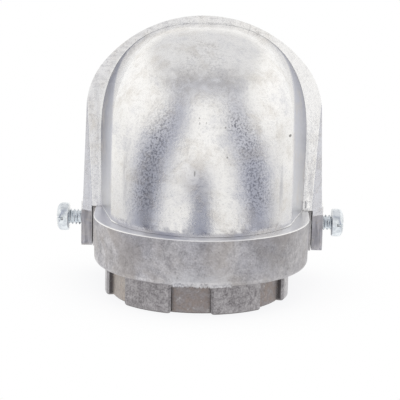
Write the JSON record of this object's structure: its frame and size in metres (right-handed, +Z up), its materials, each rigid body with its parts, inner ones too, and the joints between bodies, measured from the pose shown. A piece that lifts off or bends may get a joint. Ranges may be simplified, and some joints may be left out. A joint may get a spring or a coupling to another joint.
{
  "type": "service entrance weatherhead",
  "caption": "Cast weatherhead for a threaded conduit mast: castellated hub and collar, domed hood with a visor held by side screws, and an insulating plate for the conductors.",
  "frame": {"origin": "centre of the hub's mouth", "axes": "+Z up the conduit mast, +Y out of the conductor outlet, the rounded back faces -Y"},
  "size_m": [0.0883, 0.0783, 0.0823],
  "materials": {
    "base_casting": "matte as-cast",
    "hood_casting": "satin tumbled",
    "insulator_moulding": "matte",
    "zinc_screw": "zinc plated"
  },
  "bodies": {
    "base": {"base": "base_casting", "insulator_plate": "insulator_moulding"},
    "hood": {"hood": "hood_casting"},
    "left_screw": {"left_screw": "zinc_screw"},
    "right_screw": {"right_screw": "zinc_screw"}
  },
  "joints": [
    {"name": "hood_tilt", "type": "hinge", "parent": "base", "child": "hood", "pos_m": [0, 0.0176, 0.0181], "axis": [-1, 0, 0], "range_deg": [0, 64]},
    {"name": "left_screw_travel", "type": "slide", "parent": "base", "child": "left_screw", "axis": [1, 0, 0], "range_m": [-0.004, 0.0039]},
    {"name": "right_screw_travel", "type": "slide", "parent": "base", "child": "right_screw", "axis": [-1, 0, 0], "range_m": [-0.004, 0.0026]}
  ]
}
